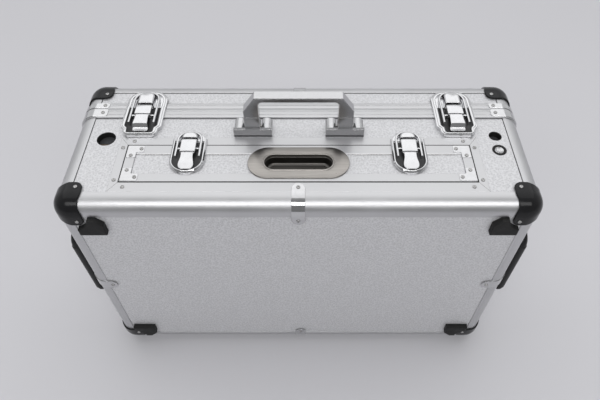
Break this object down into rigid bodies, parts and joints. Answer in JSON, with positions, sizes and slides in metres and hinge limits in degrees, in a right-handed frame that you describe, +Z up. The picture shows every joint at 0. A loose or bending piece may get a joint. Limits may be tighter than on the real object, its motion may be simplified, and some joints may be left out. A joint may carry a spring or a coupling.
{
  "type": "aluminium case",
  "caption": "Aluminium-framed equipment case with a hinged lid, draw latches, a drawer in its top edge, black ball corners, a folding carrying handle and bail handles at its ends.",
  "frame": {"origin": "middle of the whole case's footprint, at the underside of its feet", "axes": "+X to the right along the case's length, +Y from the front face with the pads to the lid's back, +Z up through the carrying handle"},
  "size_m": [0.6, 0.2218, 0.4118],
  "materials": {
    "panel_board": "silver woven-grain laminate on board",
    "edge_aluminium": "satin anodised extrusion",
    "ball_black": "glossy black moulding",
    "strap_chrome": "bright plated sheet",
    "rivet_steel": "plated rivets and screws",
    "pad_black": "black rubber",
    "handle_silver": "satin cast aluminium with bright chamfers",
    "bail_black": "black moulding with satin grain",
    "latch_chrome": "bright plated steel",
    "pull_nickel": "brushed nickel",
    "socket_metal": "turned steel socket",
    "inner_board": "dark stained plywood",
    "lining_felt": "black lining foam with felt face",
    "slide_steel": "zinc plated slide"
  },
  "bodies": {
    "body": {"front_panel": "panel_board", "top_panel": "panel_board", "bottom_panel": "panel_board", "end_panels": "panel_board", "front_edge_profiles": "edge_aluminium", "side_edge_profiles": "edge_aluminium", "body_rim": "edge_aluminium", "drawer_surround": "edge_aluminium", "front_corner_caps": "ball_black", "body_edge_straps": "strap_chrome", "body_rim_brackets": "strap_chrome", "body_rivets": "rivet_steel", "front_pad_screws": "rivet_steel", "hinge_pins": "rivet_steel", "handle_pins": "rivet_steel", "lid_latch_pins": "rivet_steel", "front_pads": "pad_black", "base_feet": "pad_black", "handle_bases": "handle_silver", "bail_mounts": "bail_black", "lid_latch_bases": "latch_chrome", "drawer_latch_keepers": "latch_chrome", "socket_insert": "socket_metal", "bay_boards": "inner_board", "divider_panel": "inner_board", "body_lining": "lining_felt", "drawer_guides": "slide_steel", "hinge_body_leaves": "slide_steel"},
    "lid": {"lid_panel": "panel_board", "lid_wall_panels": "panel_board", "lid_edge_profiles": "edge_aluminium", "lid_side_profiles": "edge_aluminium", "lid_rim": "edge_aluminium", "lid_corner_caps": "ball_black", "lid_edge_straps": "strap_chrome", "lid_rim_brackets": "strap_chrome", "lid_rivets": "rivet_steel", "lid_latch_keepers": "latch_chrome", "hinge_lid_leaves": "slide_steel", "lid_lining": "lining_felt"},
    "drawer": {"drawer_front_panel": "panel_board", "drawer_front_frame": "edge_aluminium", "drawer_tray": "inner_board", "drawer_corner_plates": "strap_chrome", "flush_pull": "pull_nickel", "drawer_runners": "slide_steel", "drawer_rivets": "rivet_steel", "drawer_latch_bases": "latch_chrome", "drawer_latch_pins": "rivet_steel"},
    "handle": {"handle_bow": "handle_silver"},
    "bail_right": {"bail_right": "bail_black"},
    "bail_left": {"bail_left": "bail_black"},
    "lid_lever_left": {"lid_lever_left": "latch_chrome"},
    "lid_lever_right": {"lid_lever_right": "latch_chrome"},
    "lid_link_left": {"lid_link_left": "latch_chrome"},
    "lid_link_right": {"lid_link_right": "latch_chrome"},
    "drawer_lever_left": {"drawer_lever_left": "latch_chrome"},
    "drawer_lever_right": {"drawer_lever_right": "latch_chrome"},
    "drawer_link_left": {"drawer_link_left": "latch_chrome"},
    "drawer_link_right": {"drawer_link_right": "latch_chrome"}
  },
  "joints": [
    {"name": "lid_hinge", "type": "hinge", "parent": "body", "child": "lid", "pos_m": [0, 0.0533, 0.0044], "axis": [-1, 0, 0], "range_deg": [0, 100]},
    {"name": "drawer_slide", "type": "slide", "parent": "body", "child": "drawer", "axis": [0, 0, 1], "range_m": [0, 0.21]},
    {"name": "handle_fold", "type": "hinge", "parent": "body", "child": "handle", "pos_m": [0, 0.0167, 0.3576], "axis": [-1, 0, 0], "range_deg": [0, 82]},
    {"name": "bail_right_swing", "type": "hinge", "parent": "body", "child": "bail_right", "pos_m": [0.2886, -0.0209, 0.1779], "axis": [0, 0, 1], "range_deg": [0, 100]},
    {"name": "bail_left_swing", "type": "hinge", "parent": "body", "child": "bail_left", "pos_m": [-0.2886, -0.0209, 0.1779], "axis": [0, 0, -1], "range_deg": [0, 100]},
    {"name": "lid_lever_right_turn", "type": "hinge", "parent": "body", "child": "lid_lever_right", "pos_m": [0.197, 0.0481, 0.358], "axis": [-1, 0, 0], "range_deg": [0, 95]},
    {"name": "lid_link_right_turn", "type": "hinge", "parent": "lid_lever_right", "child": "lid_link_right", "pos_m": [0.197, 0.0361, 0.3568], "axis": [-1, 0, 0], "range_deg": [-114, 0]},
    {"name": "lid_lever_left_turn", "type": "hinge", "parent": "body", "child": "lid_lever_left", "pos_m": [-0.197, 0.0481, 0.358], "axis": [-1, 0, 0], "range_deg": [0, 95]},
    {"name": "lid_link_left_turn", "type": "hinge", "parent": "lid_lever_left", "child": "lid_link_left", "pos_m": [-0.197, 0.0361, 0.3568], "axis": [-1, 0, 0], "range_deg": [-114, 0]},
    {"name": "drawer_lever_right_turn", "type": "hinge", "parent": "drawer", "child": "drawer_lever_right", "pos_m": [0.1325, -0.0097, 0.3558], "axis": [-1, 0, 0], "range_deg": [0, 95]},
    {"name": "drawer_link_right_turn", "type": "hinge", "parent": "drawer_lever_right", "child": "drawer_link_right", "pos_m": [0.1325, -0.0197, 0.3548], "axis": [-1, 0, 0], "range_deg": [-114, 0]},
    {"name": "drawer_lever_left_turn", "type": "hinge", "parent": "drawer", "child": "drawer_lever_left", "pos_m": [-0.1325, -0.0097, 0.3558], "axis": [-1, 0, 0], "range_deg": [0, 95]},
    {"name": "drawer_link_left_turn", "type": "hinge", "parent": "drawer_lever_left", "child": "drawer_link_left", "pos_m": [-0.1325, -0.0197, 0.3548], "axis": [-1, 0, 0], "range_deg": [-114, 0]}
  ],
  "couplings": [
    {"joint": "lid_link_right_turn", "follows": "lid_lever_right_turn", "ratio": -1.2},
    {"joint": "lid_link_left_turn", "follows": "lid_lever_left_turn", "ratio": -1.2},
    {"joint": "drawer_link_right_turn", "follows": "drawer_lever_right_turn", "ratio": -1.2},
    {"joint": "drawer_link_left_turn", "follows": "drawer_lever_left_turn", "ratio": -1.2}
  ]
}
